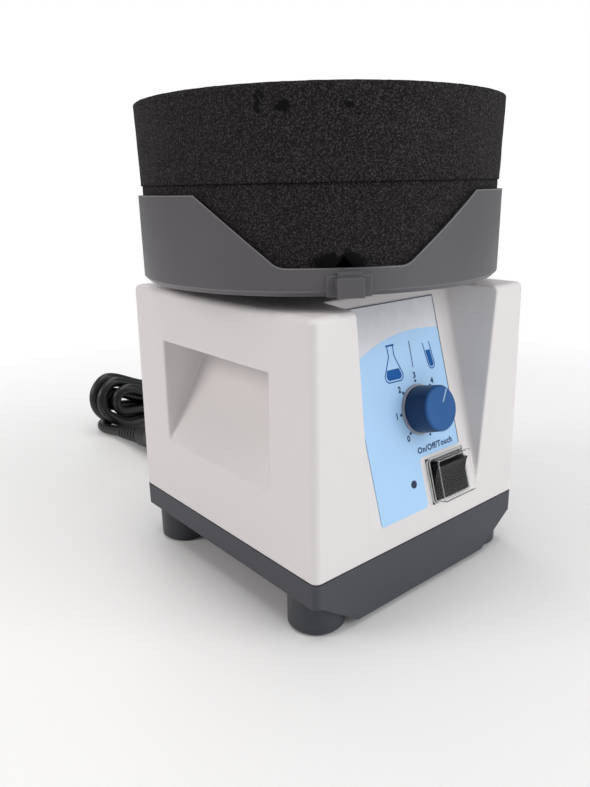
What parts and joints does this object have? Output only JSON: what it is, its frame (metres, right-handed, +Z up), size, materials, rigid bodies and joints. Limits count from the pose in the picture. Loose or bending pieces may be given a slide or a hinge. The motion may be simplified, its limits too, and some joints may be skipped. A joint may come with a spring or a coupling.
{
  "type": "test tube shaker",
  "caption": "Small bench shaker for test tubes: square case with sloped control panel, round platform tray and foam tube holder that circle without turning.",
  "frame": {"origin": "on the bench under the centre of the round tray, which is 2 mm beside the motor axis", "axes": "+Z up, -Y towards the sloped control panel, +X to the right seen from the front"},
  "size_m": [0.19, 0.3082, 0.1996],
  "materials": {
    "shell_white": "fine satin moulded plastic",
    "base_grey": "satin moulded plastic",
    "foot_rubber": "matt grey rubber",
    "screw_steel": "zinc plated steel",
    "cast_weight": "as cast, painted black",
    "post_steel": "turned steel",
    "black_rubber": "matt black rubber",
    "label_blue": "printed polycarbonate film",
    "dial_ring": "pale plastic washer",
    "switch_black": "moulded black plastic",
    "cover_clear": "clear flexible cover",
    "led_lens": "tinted lens",
    "board_green": "circuit board with parts",
    "plate_steel": "zinc plated sheet",
    "motor_paint": "dark painted steel can",
    "shaft_steel": "ground steel",
    "bearing_steel": "polished bearing steel",
    "head_aluminium": "turned aluminium",
    "tray_grey": "satin moulded plastic",
    "foam_black": "open cell foam",
    "knob_blue": "satin blue plastic",
    "pointer_white": "white fill",
    "cord_black": "black cord sheath",
    "inlet_black": "black moulded plastic"
  },
  "bodies": {
    "base": {"top_shell": "shell_white", "base_pan": "base_grey", "rubber_feet": "foot_rubber", "case_screws": "screw_steel", "ballast_plate": "cast_weight", "ballast_screws": "screw_steel", "guide_posts": "post_steel", "rubber_buffers": "black_rubber", "stop_nuts": "screw_steel", "rubber_boot": "black_rubber", "panel_label": "label_blue", "knob_ring": "dial_ring", "switch_housing": "switch_black", "switch_cover": "cover_clear", "power_led": "led_lens", "control_board": "board_green", "board_screws": "screw_steel", "speed_pot": "post_steel", "power_inlet": "inlet_black", "touch_switch": "switch_black", "touch_bracket": "plate_steel", "mains_connector": "cord_black", "mains_cord": "cord_black", "cord_hank": "cord_black", "cord_tie": "cord_black", "mains_plug": "cord_black", "plug_lead": "cord_black"},
    "drive_unit": {"motor_plate": "plate_steel", "motor_housing": "motor_paint", "motor_screws": "screw_steel"},
    "rotor": {"motor_shaft": "shaft_steel", "eccentric_hub": "post_steel", "grub_screw": "screw_steel", "journal_screw": "screw_steel", "bearing_inner": "bearing_steel"},
    "head": {"bearing_balls": "bearing_steel", "bearing_outer": "bearing_steel", "head_carrier": "head_aluminium", "platform_tray": "tray_grey", "tray_screws": "screw_steel", "foam_lower": "foam_black", "foam_upper": "foam_black"},
    "knob": {"speed_knob": "knob_blue", "knob_pointer": "pointer_white", "pot_shaft": "shaft_steel"},
    "rocker": {"switch_rocker": "switch_black"},
    "touch_plunger": {"touch_button": "inlet_black"}
  },
  "joints": [
    {"name": "touch_press", "type": "slide", "parent": "base", "child": "drive_unit", "axis": [0, 0, 1], "range_m": [-0.0015, 0], "stiffness_N_per_m": 2500, "springref_m": 0.008, "deforming": ["rubber_buffers", "rubber_boot"]},
    {"name": "shaft_spin", "type": "hinge", "parent": "drive_unit", "child": "rotor", "pos_m": [0.00149, -0.00134, 0.08], "axis": [0, 0, 1], "continuous": true},
    {"name": "head_orbit", "type": "hinge", "parent": "rotor", "child": "head", "pos_m": [0, 0, 0.115], "axis": [0, 0, 1], "continuous": true},
    {"name": "knob_turn", "type": "hinge", "parent": "base", "child": "knob", "pos_m": [0.00709, -0.05967, 0.07895], "axis": [0, -0.9613, 0.2756], "range_deg": [-125, 175]},
    {"name": "rocker_tilt", "type": "hinge", "parent": "base", "child": "rocker", "pos_m": [0.01739, -0.05914, 0.04634], "axis": [1, 0, 0], "range_deg": [-22, 0]},
    {"name": "plunger_slide", "type": "slide", "parent": "base", "child": "touch_plunger", "axis": [0, 0, 1], "range_m": [-0.0015, 0]}
  ],
  "couplings": [
    {"joint": "head_orbit", "follows": "shaft_spin", "ratio": -1},
    {"joint": "plunger_slide", "follows": "touch_press", "ratio": 1}
  ]
}
